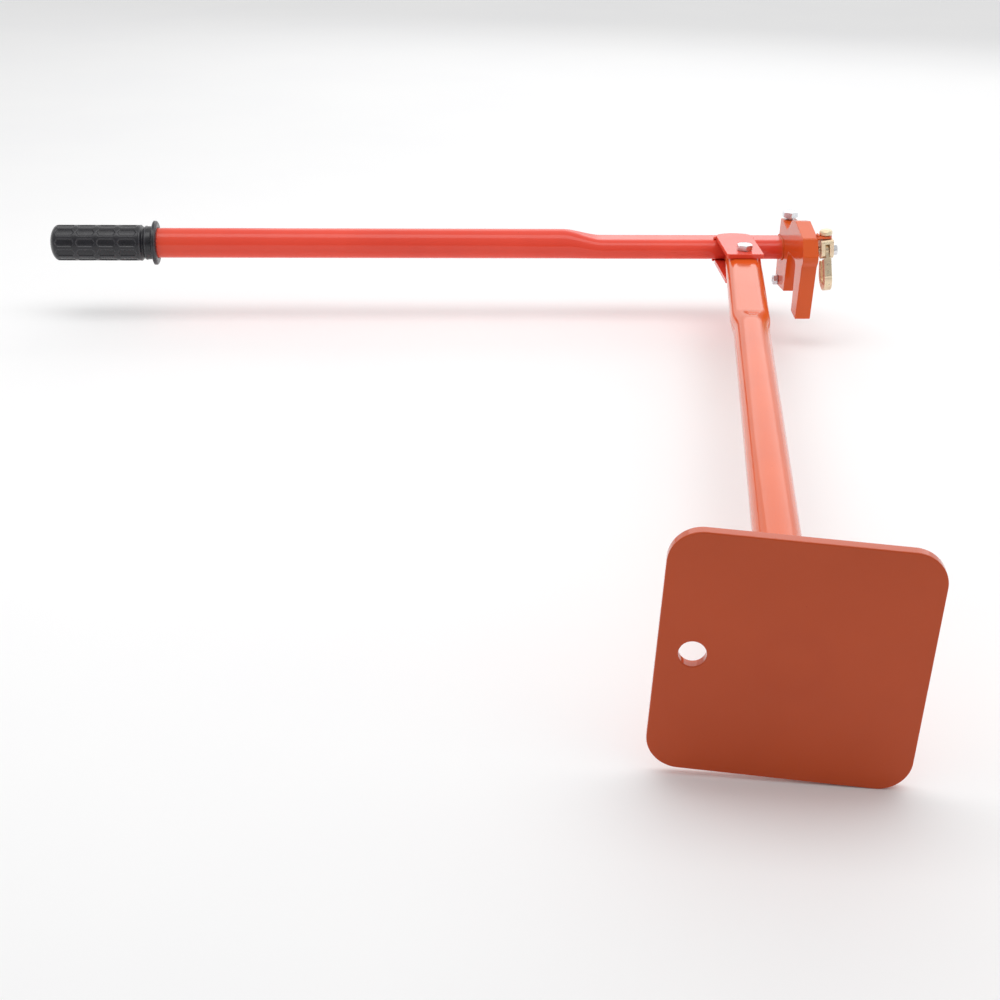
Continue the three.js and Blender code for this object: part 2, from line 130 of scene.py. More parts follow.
def rounded(corners, steps=6):
    """A closed outline through (a, b, radius) corners, each rounded to its radius."""
    outline = []
    for index, (a, b, radius) in enumerate(corners):
        here = Vector((a, b))
        back = (Vector(corners[index - 1][:2]) - here).normalized()
        on = (Vector(corners[(index + 1) % len(corners)][:2]) - here).normalized()
        half = back.angle(on) / 2
        reach = radius / math.tan(half)
        centre = here + (back + on).normalized() * radius / math.sin(half)
        start = here + back * reach - centre
        end = here + on * reach - centre
        first = math.atan2(start.y, start.x)
        sweep = (math.atan2(end.y, end.x) - first + math.pi) % TAU - math.pi
        for k in range(steps + 1):
            angle = first + sweep * k / steps
            outline.append(centre + radius * Vector((math.cos(angle), math.sin(angle))))
    return outline


def ring_outline(radius, centre, sides=48):
    angles = [TAU * i / sides for i in range(sides)]
    return [Vector(centre) + radius * Vector((math.cos(a), math.sin(a))) for a in angles]


def anticlockwise(outline):
    pairs = zip(outline, outline[1:] + outline[:1])
    area = sum(p.x * q.y - q.x * p.y for p, q in pairs)
    return outline if area > 0 else outline[::-1]


def inset(outline, distance):
    """The outline moved into the material, which is on its left."""
    moved = []
    for index, here in enumerate(outline):
        before = (here - outline[index - 1]).normalized()
        after = (outline[(index + 1) % len(outline)] - here).normalized()
        first = Vector((-before.y, before.x))
        second = Vector((-after.y, after.x))
        moved.append(here + distance * (first + second) / max(1 + first.dot(second), 0.3))
    return moved


def plate(outline, low, high, edge, holes=(), steps=3):
    """A flat plate from z = low to high with rounded edges, and holes given as outlines."""
    loops = [anticlockwise(outline)] + [anticlockwise(hole)[::-1] for hole in holes]
    turns = [math.pi / 2 * k / steps for k in range(steps + 1)]
    levels = [(edge * (1 - math.sin(t)), low + edge * (1 - math.cos(t))) for t in turns]
    levels += [(edge * (1 - math.cos(t)), high - edge * (1 - math.sin(t))) for t in turns]
    parts = []
    for loop in loops:
        rings = [[(p.x, p.y, z) for p in inset(loop, depth)] for depth, z in levels]
        vertices, faces = skin(rings)
        parts.append((vertices, faces[:-2]))
    for level in (levels[0], levels[-1]):
        flat = [[Vector((p.x, p.y, level[1])) for p in inset(loop, level[0])] for loop in loops]
        points = [p for loop in flat for p in loop]
        parts.append((points, [tuple(t) for t in tessellate_polygon(flat)]))
    return joined(*parts)


def stood_up(part):
    """A part drawn in (a, b, c) stood up, so that c runs along X, a along Y and b along Z."""
    vertices, faces = part
    return [Vector((v.z, v.x, v.y)) for v in vertices], faces


def shifted(part, offset):
    vertices, faces = part
    return [v + Vector(offset) for v in vertices], faces


def changed(part, matrix):
    vertices, faces = part
    return [matrix @ v for v in vertices], faces


def smooth_step(t):
    t = min(max(t, 0.0), 1.0)
    return t * t * (3 - 2 * t)


def mixed(a, b, t):
    return a + (b - a) * t


# ---- a piece of the object -----------------------------------------------------------


def piece(name, part, place, material, body, nodes=(), crease=32, merge=0.0):
    """Makes a mesh object from a part, rides it on a body and lets it stand for CAD nodes."""
    vertices, faces = part
    mesh = bpy.data.meshes.new(name)
    mesh.from_pydata([place @ v for v in vertices], [], faces)
    work = bmesh.new()
    work.from_mesh(mesh)
    bmesh.ops.remove_doubles(work, verts=work.verts, dist=max(merge, 1e-7))
    bmesh.ops.recalc_face_normals(work, faces=work.faces)
    work.to_mesh(mesh)
    work.free()
    mesh.materials.append(material)
    mesh.shade_smooth()
    mesh.set_sharp_from_angle(angle=math.radians(crease))
    made = bpy.data.objects.new(name, mesh)
    bpy.context.scene.collection.objects.link(made)
    evened(made)
    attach(made, body)
    if nodes:
        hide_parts(*nodes)
    return made


def evened(made):
    """Lets the large flat faces set the shading at their edges."""
    even = made.modifiers.new("even_normals", "WEIGHTED_NORMAL")
    even.keep_sharp = True


def drilled(made, centre, radius, reach):
    """Cuts a round hole along Z through a finished piece; the centre is in the row frame."""
    rings = [circle(radius, -reach, 48), circle(radius, reach, 48)]
    vertices, faces = skin(rings)
    cutter_mesh = bpy.data.meshes.new("drill")
    cutter_mesh.from_pydata([Vector(centre) + v * MM for v in vertices], [], faces)
    cutter = bpy.data.objects.new("drill", cutter_mesh)
    bpy.context.scene.collection.objects.link(cutter)
    cut = made.modifiers.new("hole", "BOOLEAN")
    cut.object = cutter
    cut.solver = "EXACT"
    settle(made)
    bpy.data.objects.remove(cutter)
    bpy.data.meshes.remove(cutter_mesh)


def settle(made):
    """Turns the modifiers' result into the piece's own mesh."""
    bpy.context.view_layer.update()
    graph = bpy.context.evaluated_depsgraph_get()
    result = bpy.data.meshes.new_from_object(made.evaluated_get(graph), depsgraph=graph)
    made.modifiers.clear()
    made.data = result


# ---- materials -----------------------------------------------------------------------


def set_range(map_range, low, high, to_low, to_high):
    values = {"From Min": low, "From Max": high, "To Min": to_low, "To Max": to_high}
    for socket, value in values.items():
        map_range.inputs[socket].default_value = value


class Surface:
    """A material under construction: a Principled shader fed by procedural nodes."""

    def __init__(self, name, **sockets):
        self.material = bpy.data.materials.new(name)
        self.material.use_nodes = True
        self.tree = self.material.node_tree
        self.shader = self.tree.nodes["Principled BSDF"]
        self.place = self.node("ShaderNodeTexCoord").outputs["Object"]
        for socket, value in sockets.items():
            self.shader.inputs[socket.replace("_", " ")].default_value = value

    def node(self, kind, **settings):
        made = self.tree.nodes.new(kind)
        for key, value in settings.items():
            setattr(made, key, value)
        return made

    def link(self, source, target):
        self.tree.links.new(source, target)

    def stretched(self, scale):
        mapping = self.node("ShaderNodeMapping")
        mapping.inputs["Scale"].default_value = scale
        self.link(self.place, mapping.inputs["Vector"])
        return mapping.outputs["Vector"]

    def noise(self, scale, detail=2.0, roughness=0.5, vector=None):
        made = self.node("ShaderNodeTexNoise")
        made.inputs["Scale"].default_value = scale
        made.inputs["Detail"].default_value = detail
        made.inputs["Roughness"].default_value = roughness
        self.link(vector or self.place, made.inputs["Vector"])
        return made.outputs["Fac"]

    def ranged(self, source, low, high, to_low=0.0, to_high=1.0):
        made = self.node("ShaderNodeMapRange")
        set_range(made, low, high, to_low, to_high)
        self.link(source, made.inputs["Value"])
        return made.outputs["Result"]

    def maths(self, operation, first, second):
        made = self.node("ShaderNodeMath", operation=operation)
        for socket, value in zip(made.inputs, (first, second)):
            if isinstance(value, (int, float)):
                socket.default_value = value
            else:
                self.link(value, socket)
        return made.outputs["Value"]

    def mix(self, factor, first, second):
        """Two colours mixed; each is a colour tuple or another node's output."""
        made = self.node("ShaderNodeMix", data_type="RGBA")
        self.link(factor, made.inputs["Factor"])
        for socket, value in zip((made.inputs[6], made.inputs[7]), (first, second)):
            if isinstance(value, tuple):
                socket.default_value = (*value, 1.0)
            else:
                self.link(value, socket)
        return made.outputs[2]

    def edges(self, low, high):
        """0 on flat faces and 1 on outer edges."""
        pointed = self.node("ShaderNodeNewGeometry").outputs["Pointiness"]
        return self.ranged(pointed, low, high)

    def bump(self, height, distance, strength=1.0, under=None):
        made = self.node("ShaderNodeBump")
        made.inputs["Strength"].default_value = strength
        made.inputs["Distance"].default_value = distance * MM
        self.link(height, made.inputs["Height"])
        if under:
            self.link(under, made.inputs["Normal"])
        return made.outputs["Normal"]

    def finish(self, colour, roughness, normal):
        self.link(colour, self.shader.inputs["Base Color"])
        self.link(roughness, self.shader.inputs["Roughness"])
        self.link(normal, self.shader.inputs["Normal"])
        return self.material


ORANGE = (0.76, 0.112, 0.016)
ORANGE_DEEP = (0.70, 0.098, 0.013)
# lighter orange for convex edges: a painted edge highlight
ORANGE_EDGE_HIGHLIGHT = (0.86, 0.15, 0.04)
ORANGE_DARK = (0.46, 0.045, 0.010)
# the foot plate's orange, darker than the other paint: painted shade for its face turned away from the
# lights
PLATE_SHADED_ORANGE = (0.57, 0.078, 0.015)
PLATE_SHADED_DEEP = (0.53, 0.070, 0.012)
RED = (0.86, 0.078, 0.044)
RED_DEEP = (0.78, 0.066, 0.037)


def paint(name, base=ORANGE, deep=ORANGE_DEEP, mark=None):
    """Glossy powder coat. mark is the centre of a faint round heat mark, in metres."""
    s = Surface(name, Coat_Weight=0.05, Coat_Roughness=0.04, Specular_IOR_Level=0.34)
    colour = s.mix(s.ranged(s.noise(7, 3), 0.35, 0.65), base, deep)
    colour = s.mix(s.ranged(s.noise(420, 2), 0.62, 0.85, 0, 0.5), colour, deep)
    # convex edges lightened: a painted highlight
    colour = s.mix(s.edges(0.53, 0.62), colour, ORANGE_EDGE_HIGHLIGHT)
    specks = s.ranged(s.noise(260, 2), 0.74, 0.79, 0, 0.5)
    colour = s.mix(specks, colour, ORANGE_DARK)
    scuffs = s.ranged(s.noise(60, 6, 0.6, s.stretched((1, 0.25, 1))), 0.60, 0.90)
    rough = s.ranged(s.noise(35, 4), 0.3, 0.7, 0.10, 0.15)
    rough = s.maths("ADD", rough, s.maths("MULTIPLY", scuffs, 0.08))
    normal = s.bump(s.noise(520, 1.5), 0.05, 0.5)
    normal = s.bump(s.noise(90, 2), 0.12, 0.35, normal)
    if mark:
        away = s.node("ShaderNodeVectorMath", operation="DISTANCE")
        s.link(s.place, away.inputs[0])
        away.inputs[1].default_value = mark
        reach = away.outputs["Value"]
        wobble = s.maths("MULTIPLY", s.noise(55, 4), 0.006)
        reach = s.maths("ADD", reach, wobble)
        inner = s.ranged(reach, 0.014, 0.026)
        outer = s.ranged(reach, 0.040, 0.028)
        ring = s.maths("MULTIPLY", inner, outer)
        colour = s.mix(s.maths("MULTIPLY", ring, 0.11), colour, ORANGE_DARK)
        normal = s.bump(ring, 0.06, 0.30, normal)
    return s.finish(colour, rough, normal)


def zinc():
    """Bright zinc plate with fine draw lines and dull patches."""
    s = Surface("zinc_plate_finish", Metallic=1.0)
    colour = s.mix(s.ranged(s.noise(90, 4), 0.35, 0.7), (0.80, 0.81, 0.83), (0.62, 0.64, 0.68))
    colour = s.mix(s.ranged(s.noise(700, 2), 0.6, 0.8, 0, 0.5), colour, (0.50, 0.50, 0.52))
    rough = s.ranged(s.noise(160, 4), 0.3, 0.7, 0.22, 0.40)
    normal = s.bump(s.noise(900, 3), 0.03, 0.4)
    return s.finish(colour, rough, normal)


def yellow_zinc():
    """Pale yellow chromate over a forging, with a faint pink and green bloom."""
    s = Surface("yellow_zinc_finish", Metallic=0.72)
    colour = s.mix(s.ranged(s.noise(70, 3), 0.35, 0.65), (0.86, 0.74, 0.52), (0.80, 0.62, 0.42))
    colour = s.mix(s.ranged(s.noise(130, 3), 0.55, 0.75, 0, 0.4), colour, (0.80, 0.58, 0.50))
    colour = s.mix(s.ranged(s.noise(110, 3), 0.55, 0.80, 0, 0.5), colour, (0.50, 0.44, 0.26))
    colour = s.mix(s.ranged(s.noise(500, 2), 0.6, 0.9, 0, 0.25), colour, (0.52, 0.42, 0.26))
    rough = s.ranged(s.noise(200, 4), 0.3, 0.7, 0.24, 0.38)
    normal = s.bump(s.noise(450, 3, 0.5), 0.05, 0.4)
    return s.finish(colour, rough, normal)


def black_rubber():
    """Soft black rubber with a fine grain, and a painted grey highlight on the raised ribs' edges."""
    s = Surface("black_rubber_finish", Specular_IOR_Level=0.52)
    colour = s.mix(s.ranged(s.noise(60, 4), 0.35, 0.65), (0.009, 0.0086, 0.012), (0.014, 0.0134, 0.018))
    # lighter grey on the ribs' edges: a painted highlight
    colour = s.mix(s.edges(0.505, 0.56), colour, (0.070, 0.069, 0.078))
    dust = s.ranged(s.noise(1400, 2), 0.66, 0.80, 0, 0.25)
    colour = s.mix(dust, colour, (0.12, 0.12, 0.12))
    rough = s.ranged(s.noise(240, 4), 0.3, 0.7, 0.24, 0.34)
    normal = s.bump(s.noise(1900, 2), 0.05, 0.6)
    return s.finish(colour, rough, normal)


def nylon():
    s = Surface("nylon_finish", Specular_IOR_Level=0.5)
    colour = s.mix(s.ranged(s.noise(300, 3), 0.3, 0.7), (0.62, 0.64, 0.66), (0.50, 0.53, 0.58))
    rough = s.ranged(s.noise(500, 2), 0.3, 0.7, 0.40, 0.55)
    return s.finish(colour, rough, s.bump(s.noise(900, 2), 0.03, 0.5))


def bare_steel():
    s = Surface("bare_steel_finish", Metallic=1.0)
    colour = s.mix(s.ranged(s.noise(80, 4), 0.35, 0.65), (0.42, 0.41, 0.40), (0.30, 0.29, 0.28))
    rough = s.ranged(s.noise(160, 4), 0.3, 0.7, 0.35, 0.55)
    return s.finish(colour, rough, s.bump(s.noise(700, 3), 0.05, 0.5))


def pale_floor():
    s = Surface("pale_floor_finish", Specular_IOR_Level=0.2)
    colour = s.mix(s.ranged(s.noise(3, 3), 0.3, 0.7), (0.93, 0.93, 0.93), (0.915, 0.915, 0.92))
    rough = s.ranged(s.noise(20, 3), 0.3, 0.7, 0.72, 0.80)
    return s.finish(colour, rough, s.bump(s.noise(220, 2), 0.05, 0.2))


PAINT = paint("orange_paint_finish")
LEVER_PAINT = paint("lever_paint_finish", RED, RED_DEEP)
ZINC = zinc()
GOLD = yellow_zinc()
RUBBER = black_rubber()


def painted(name, part, place, body, nodes, material=PAINT):
    return piece(name, part, place, material, body, nodes)


def plated(name, part, place, body, nodes):
    return piece(name, part, place, ZINC, body, nodes)


def gilded(name, part, place, body, nodes, merge=0.0):
    return piece(name, part, place, GOLD, body, nodes, merge=merge)


# ---- weld beads ----------------------------------------------------------------------


def curve_through(points, step=0.45):
    """A smooth curve through points, sampled about every step millimetres."""
    points = [Vector(p) for p in points]
    padded = [2 * points[0] - points[1], *points, 2 * points[-1] - points[-2]]
    curve = []
    for a, b, c, d in zip(padded, padded[1:], padded[2:], padded[3:]):
        count = max(2, round((c - b).length / step))
        for k in range(count):
            t = k / count
            curve.append(0.5 * (2 * b + (c - a) * t + (2 * a - 5 * b + 4 * c - d) * t * t
                                + (3 * b - a - 3 * c + d) * t ** 3))
    curve.append(points[-1])
    return curve


def bead(path, up, radius, pitch=2.4, closed=False, sides=16):
    """A rippled weld bead along a path that lies across the direction up."""
    up = Vector(up)
    rings = []
    run = 0.0
    count = len(path)
    for i, here in enumerate(path):
        ahead = path[(i + 1) % count] if closed else path[min(i + 1, count - 1)]
        behind = path[i - 1] if closed or i else path[0]
        along = (ahead - behind).normalized()
        across = along.cross(up).normalized()
        phase = (run / pitch) % 1.0
        swell = 0.86 + 0.16 * math.sqrt(max(0.0, 1 - (2 * phase - 1) ** 2))
        swell *= 1 + 0.10 * noise.noise(here * 0.35)
        taper = 1.0 if closed else min(1.0, 0.25 + 0.75 * min(i, count - 1 - i) / (radius / 0.45))
        ring = []
        for k in range(sides):
            angle = TAU * k / sides
            out = radius * swell * taper
            lag = along * 0.35 * radius * (1 - abs(math.cos(angle)))
            ring.append(here + across * out * math.cos(angle) + up * out * math.sin(angle) - lag)
        rings.append(ring)
        run += (ahead - here).length
    return skin(rings, closed)


# ---- fasteners -----------------------------------------------------------------------

M12 = 12
M12_ACROSS = 19
M12_PITCH = 1.75
M8 = 8
M8_ACROSS = 13
M8_PITCH = 1.25
FACE_SHARE = 0.93      # a head's or nut's round face, as a share of its width across flats
CHAMFER = math.tan(math.radians(28))


def hexagon(across, z, sides, corner=1.135):
    """A hexagon's ring with slightly blunt corners; z may depend on the radius."""
    ring = []
    for i in range(sides):
        angle = TAU * i / sides
        turn = (angle + math.pi / 6) % (math.pi / 3) - math.pi / 6
        radius = min(across / 2 / math.cos(turn), across / 2 * corner)
        height = z(radius) if callable(z) else z
        ring.append((radius * math.cos(angle), radius * math.sin(angle), height))
    return ring


def thread(radius, start, end, pitch, sides):
    """Rings of a helical thread between two heights, with a chamfered far end."""
    depth = 0.55 * pitch
    steps = max(8, round(abs(end - start) / pitch * 8))
    rings = []
    for k in range(steps + 1):
        z = mixed(start, end, k / steps)
        left = abs(end - z)
        ring = []
        for i in range(sides):
            phase = (z / pitch - i / sides) % 1.0
            groove = depth * (1 - abs(2 * phase - 1))
            limit = radius - 0.9 * pitch + left
            ring.append(min(radius - groove, limit))
        rings.append([(r * math.cos(TAU * i / sides), r * math.sin(TAU * i / sides), z)
                      for i, r in enumerate(ring)])
    return rings


def hex_bolt(across, head, diameter, length, pitch, plain, sides=96):
    """A hex bolt: head base at z = 0, head upwards, shank downwards, plain then threaded."""
    flat = across / 2
    top = flat * FACE_SHARE
    rings = [circle(flat * 0.02, head, sides), circle(flat * 0.55, head, sides), circle(top, head, sides)]
    rings.append(hexagon(across, lambda r: head - (r - top) * CHAMFER, sides))
    rings.append(hexagon(across, lambda r: 0.5 + (r - top) * CHAMFER * 0.6, sides))
    rings.append(circle(flat * 0.95, 0.5, sides))
    rings.append(circle(flat * 0.95, 0, sides))
    rings.append(circle(diameter / 2, 0, sides))
    rings.append(circle(diameter / 2, -plain, sides))
    rings += thread(diameter / 2, -plain - 0.2, -length, pitch, sides)
    rings.append(circle(diameter * 0.05, -length, sides))
    return skin(rings)


def hex_nut(across, height, bore, sides=96):
    """A hex nut from z = 0 to its height, chamfered on both faces."""
    top = across / 2 * FACE_SHARE
    rings = [circle(bore / 2, 0.7, sides), circle(bore / 2 + 0.7, 0, sides), circle(top, 0, sides)]
    rings.append(hexagon(across, lambda r: (r - top) * CHAMFER, sides))
    rings.append(hexagon(across, lambda r: height - (r - top) * CHAMFER, sides))
    rings += [circle(top, height, sides), circle(bore / 2 + 0.7, height, sides)]
    rings.append(circle(bore / 2, height - 0.7, sides))
    return skin(rings, closed=True)


def lock_nut(across, height, bore, collar, sides=96):
    """A hex nut with a turned-in collar at its far end, which holds the nylon ring."""
    top = across / 2 * FACE_SHARE
    body = height - collar
    rim = top - 0.8
    rings = [circle(bore / 2, 0.7, sides), circle(bore / 2 + 0.7, 0, sides), circle(top, 0, sides)]
    rings.append(hexagon(across, lambda r: (r - top) * CHAMFER, sides))
    rings.append(hexagon(across, lambda r: body - (r - top) * CHAMFER, sides))
    rings += [circle(top, body, sides), circle(rim, body + 0.5, sides), circle(rim, height - 0.9, sides)]
    rings += [circle(rim - 0.35, height - 0.25, sides), circle(rim - 1.0, height, sides)]
    rings += [circle(rim - 1.5, height - 0.2, sides), circle(rim - 1.5, body, sides)]
    rings.append(circle(bore / 2, body, sides))
    return skin(rings, closed=True)


def washer(outer, inner, low, high, edge=0.35, sides=72):
    profile = [(inner, low + edge), (inner + edge, low), (outer - edge, low), (outer, low + edge),
               (outer, high - edge), (outer - edge, high), (inner + edge, high), (inner, high - edge)]
    return turned(profile, sides, closed=True)


# ---- tubes ---------------------------------------------------------------------------


def stadium(width, thickness, sides):
    """Points spaced evenly round a circle squeezed to a width and a thickness."""
    flat = max(width - thickness, 0.0)
    radius = thickness / 2
    arc = math.pi * radius
    total = 2 * (flat + arc)
    points = []
    for i in range(sides):
        run = total * i / sides
        if run < arc / 2:
            side, angle = flat / 2, run / radius
        elif run < arc / 2 + flat:
            points.append((flat / 2 - (run - arc / 2), radius))
            continue
        elif run < arc * 1.5 + flat:
            side, angle = -flat / 2, (run - flat) / radius
        elif run < arc * 1.5 + 2 * flat:
            points.append((-flat / 2 + (run - arc * 1.5 - flat), -radius))
            continue
        else:
            side, angle = flat / 2, (run - 2 * flat) / radius
        points.append((side + radius * math.cos(angle), radius * math.sin(angle)))
    return points


def flattened_tube(start, change, end, diameter, width, thickness, rise, wall, sides=80):
    """A hollow tube along +Y, round from start, squeezed flat over change, to its end."""
    change_start, change_end = change
    rim = 0.7

    def section(at, skin_depth):
        t = smooth_step((at - change_start) / (change_end - change_start))
        wide = mixed(diameter, width, t) - 2 * skin_depth
        thick = mixed(diameter, thickness, t) - 2 * skin_depth
        lift = mixed(rise, 0.0, t)
        return [(x, at, z + lift) for x, z in stadium(wide, thick, sides)]

    stations = [start + rim, mixed(start, change_start, 0.5)]
    stations += [mixed(change_start, change_end, k / 28) for k in range(29)]
    stations += [mixed(change_end, end, k / 16) for k in range(1, 16)]
    stations.append(end - rim)
    rings = [section(start, rim)] + [section(at, 0) for at in stations] + [section(end, rim)]
    rings += [section(end, wall - rim)] + [section(at, wall) for at in reversed(stations)]
    rings.append(section(start, wall - rim))
    return skin(rings, closed=True)


# ---- stand: foot plate, leg and its weld ---------------------------------------------

WALL = 3.0             # of both tubes


def foot_plate():
    """The plate is welded on with a slight twist about the leg."""
    low, high = extent("foot_plate")
    hole_radius = 10.5
    hole_offset = 73.3
    corner = 26.0
    half = 100.0
    twist = Matrix.Rotation(math.radians(2.7), 4, "Y")
    corners = [(x * half, y * half, corner) for x, y in ((1, 1), (-1, 1), (-1, -1), (1, -1))]
    hole = ring_outline(hole_radius, (-hole_offset, 0), 64)
    part = plate(rounded(corners, 20), 0, high.y - low.y, 1.0, [hole], 4)
    upright = Matrix.Rotation(math.radians(-90), 4, "X")
    part = changed(part, twist @ upright)
    # a darker copy of the orange paint: painted shade on the plate
    shaded_plate_paint = paint("foot_plate_shaded_finish", PLATE_SHADED_ORANGE, PLATE_SHADED_DEEP, (0.0, 0.0, 0.0))
    return piece("foot_plate_fine", part, ROW, shaded_plate_paint, "stand", ["foot_plate"])


def leg():
    low, high = extent("leg_tube")
    thickness = 26.4
    width = 47.4
    diameter = high.z - low.z
    flat_start = PIVOT.y / MM - 234
    squeeze = 62
    change = (flat_start - squeeze, flat_start)
    part = flattened_tube(low.y, change, high.y, diameter, width, thickness, 0, WALL)
    made = painted("leg_tube_fine", part, ROW, "stand", ["leg_tube"])
    drilled(made, PIVOT, PIVOT_HOLE, thickness)
    made.data.set_sharp_from_angle(angle=math.radians(32))
    evened(made)
    return made


def foot_weld():
    low, high = extent("foot_weld")
    middle = (low + high) / 2
    leg_radius = extent("leg_tube")[1].z
    radius = 4.6
    clear = radius * 0.35
    ring = leg_radius + clear
    count = 320
    path = []
    for i in range(count):
        angle = TAU * i / count
        x = middle.x + ring * math.cos(angle)
        path.append(Vector((x, low.y + clear, ring * math.sin(angle))))
    part = bead(path, (0, 1, 0), radius, 3.2, closed=True)
    return painted("foot_weld_fine", part, ROW, "stand", ["foot_weld"])


# ---- lever: tube, grip, ears and pivot -----------------------------------------------

LEVER_RISE = 4.2       # the round end's axis above the flattened end's
ALONG_X = Matrix.Rotation(math.radians(-90), 4, "Z")
ON_ITS_SIDE = Matrix.Rotation(math.pi / 2, 4, "Y")


def lever():
    low, high = extent("lever_tube", LEVER)
    axis = (low.y + high.y) / 2
    diameter = 40.0
    thickness = 27.0
    change = (-236.0, -180.0)
    width = high.y - low.y
    part = flattened_tube(low.x, change, high.x, diameter, width, thickness, LEVER_RISE, WALL)
    part = shifted(changed(part, ALONG_X), (0, axis, 0))
    return painted("lever_tube_fine", part, LEVER, "lever", ["lever_tube"], LEVER_PAINT)


GRIP_RADIUS = 23.8


def grip_radius(run, length, neck, flange):
    """The grip's outer radius at a distance from its closed end, before its cells."""
    dome = 11.0
    neck_start = 121.5
    flange_start = length - 8.2
    if run < dome:
        return GRIP_RADIUS * math.sqrt(max(0.0, 1 - (1 - run / dome) ** 2))
    if run < flange_start:
        ridge = math.exp(-(((run - neck_start) / 1.1) ** 2))
        groove = math.exp(-(((run - neck_start - 3.6) / 1.4) ** 2))
        second_ridge = math.exp(-(((run - neck_start - 7) / 1.2) ** 2))
        drop = smooth_step((run - neck_start + 1) / 4)
        return mixed(GRIP_RADIUS, neck, drop) + 0.5 * ridge - 1.2 * groove + 0.7 * second_ridge
    t = (run - flange_start) / (length - flange_start)
    foot = smooth_step(t / 0.35)
    bulge = math.sqrt(max(0.0, 1 - max(0.0, (t - 0.62) / 0.40) ** 2.4))
    return mixed(neck, neck + (flange - neck) * bulge, foot)


def grip_recess(run, around):
    """How deep the sunk cells are: long hexagons, in rows along and round the grip."""
    columns = 4
    pitch = 27.6
    first = 8.3
    row_pitch = 36.0
    row_shift = 15.0
    half_length = 12.2
    half_width = 4.9
    column = (run - first) / pitch
    if column < 0 or column >= columns:
        return 0.0
    a = abs((column % 1.0 - 0.5) * pitch)
    row_position = (math.degrees(around) + row_shift) / row_pitch
    b = math.radians(abs((row_position - round(row_position)) * row_pitch)) * GRIP_RADIUS
    outside = max(b - half_width, (a + 0.55 * b - half_length) / 1.14)
    return smooth_step(0.5 - outside / 1.5)


def grip():
    low, high = extent("rubber_grip", LEVER)
    tube_low, tube_high = extent("lever_tube", LEVER)
    length = high.x - low.x
    neck = 22.2
    flange = (high.z - low.z) / 2
    bore = 20.3
    depth = 1.5
    sides = 220
    pitch = 0.6

    def ring(at, radius):
        angles = [TAU * i / sides for i in range(sides)]
        return [(at, radius(t) * math.cos(t), radius(t) * math.sin(t)) for t in angles]

    stations = [length * (k / 240) ** 2 for k in range(1, 36)]
    while stations[-1] < length - pitch:
        stations.append(stations[-1] + pitch)
    stations += [length - 0.25, length]
    rings = [ring(low.x, lambda t: 0.3)]
    for run in stations:
        outer = grip_radius(run, length, neck, flange)
        rings.append(ring(low.x + run, lambda t: max(outer - depth * grip_recess(run, t), 0.4)))
    mouth = tube_low.x - GAP
    for at, radius in ((high.x, bore + 0.9), (high.x - 0.9, bore), (mouth, bore), (mouth, 0.3)):
        rings.append(ring(at, lambda t: radius))
    part = shifted(skin(rings), (0, (tube_low.y + tube_high.y) / 2, LEVER_RISE))
    nodes = ["rubber_grip"]
    return piece("rubber_grip_fine", part, LEVER, RUBBER, "lever", nodes, crease=50)


def ear_outline(left, right, near, far):
    """A strap with a squared near end and an arched far end under the lever."""
    arch = 15.5
    shoulder = far - arch
    middle = (left + right) / 2
    half = (right - left) / 2
    strap = rounded([(left, near, 3), (right, near, 3), (right, shoulder, 0.5), (left, shoulder, 0.5)])
    outline = [p for p in strap if p.y < shoulder - 1]
    steps = 24
    for k in range(steps + 1):
        angle = math.pi * k / steps
        rise = arch * math.sin(angle) ** 0.8
        outline.append(Vector((middle + half * math.cos(angle), shoulder + rise)))
    return outline


def ears():
    for node in ("upper_ear", "lower_ear"):
        low, high = extent(node, LEVER)
        outline = ear_outline(low.x, high.x, low.y, high.y)
        hole = ring_outline(PIVOT_HOLE, (0, 0))
        part = plate(outline, low.z, high.z, 0.8, [hole])
        painted(node + "_fine", part, LEVER, "lever", [node], LEVER_PAINT)


def ear_welds():
    low, high = extent("upper_ear", LEVER)
    middle = (low.x + high.x) / 2
    half = (high.x - low.x) / 2
    height = 15.2
    for node, side in (("upper_ear_weld", 1), ("lower_ear_weld", -1)):
        right_half = [(half + 1.6, -13), (half + 0.3, -6), (half - 9, 1.0)]
        left_half = [(-out, along) for out, along in reversed(right_half)]
        route = right_half + [(0, 2.2)] + left_half
        points = [(middle + out, high.y + along, side * height) for out, along in route]
        part = bead(curve_through(points), (0, 0, 1), 1.9)
        painted(node + "_fine", part, LEVER, "lever", [node], LEVER_PAINT)


def pivot():
    low, high = extent("pivot_bolt", LEVER)
    ear_top = extent("upper_ear", LEVER)[1].z
    washer_low, washer_high = extent("pivot_washer", LEVER)
    nut_low, nut_high = extent("pivot_lock_nut", LEVER)
    base = ear_top + GAP
    plain = base - nut_high.z + 1
    bolt = hex_bolt(M12_ACROSS, high.z - base, M12, base - low.z, M12_PITCH, plain)
    bolt = shifted(bolt, (0, 0, base))
    plated("pivot_bolt_fine", bolt, LEVER, "lever", ["pivot_bolt"])
    outer = 12
    inner = 6.4
    ring = washer(outer, inner, washer_low.z, washer_high.z)
    plated("pivot_washer_fine", ring, LEVER, "lever", ["pivot_washer"])
    flip = Matrix.Translation((0, 0, nut_high.z)) @ Matrix.Rotation(math.pi, 4, "X")
    height = nut_high.z - nut_low.z
    collar = 2.8
    nut = changed(lock_nut(M12_ACROSS, height, M12 + 0.2, collar), flip)
    plated("pivot_lock_nut_fine", nut, LEVER, "lever", ["pivot_lock_nut"])
    insert = changed(washer(6.5, 5.7, height - collar, height - 0.5, 0.2), flip)
    piece("lock_nut_nylon_ring", insert, LEVER, nylon(), "lever")


# ---- jaw plate and its bolts ---------------------------------------------------------


